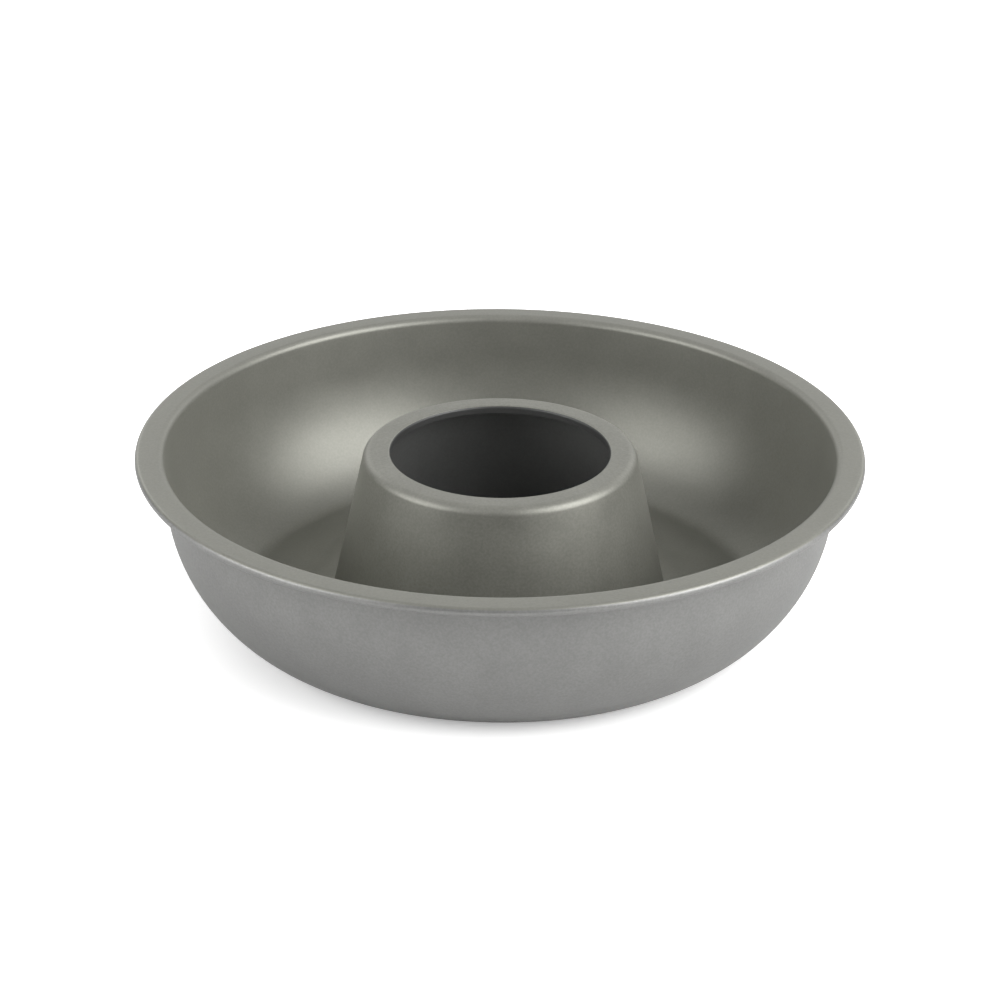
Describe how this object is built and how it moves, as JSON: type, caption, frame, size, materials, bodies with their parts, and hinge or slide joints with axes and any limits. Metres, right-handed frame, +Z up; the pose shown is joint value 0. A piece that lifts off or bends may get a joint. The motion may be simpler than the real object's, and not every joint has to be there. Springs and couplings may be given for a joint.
{
  "type": "ring cake pan",
  "caption": "Round ring-shaped baking pan of coated sheet steel, with curved wall, wired rolled rim and an open tapered centre tube locked into its floor.",
  "frame": {"origin": "centre of the plane that the pan stands on, under the middle of the tube's hole", "axes": "+Z up along the axis of the tube and of the bowl; X and Y are alike, because the pan is round"},
  "size_m": [0.27, 0.27, 0.0645],
  "materials": {
    "coated_bowl": "satin grey non-stick coating on drawn carbon steel",
    "coated_tube": "satin grey non-stick coating on drawn carbon steel",
    "bright_wire": "drawn steel wire, uncoated"
  },
  "bodies": {
    "root": {"ring_bowl": "coated_bowl", "centre_tube": "coated_tube", "rim_wire": "bright_wire"}
  },
  "joints": []
}
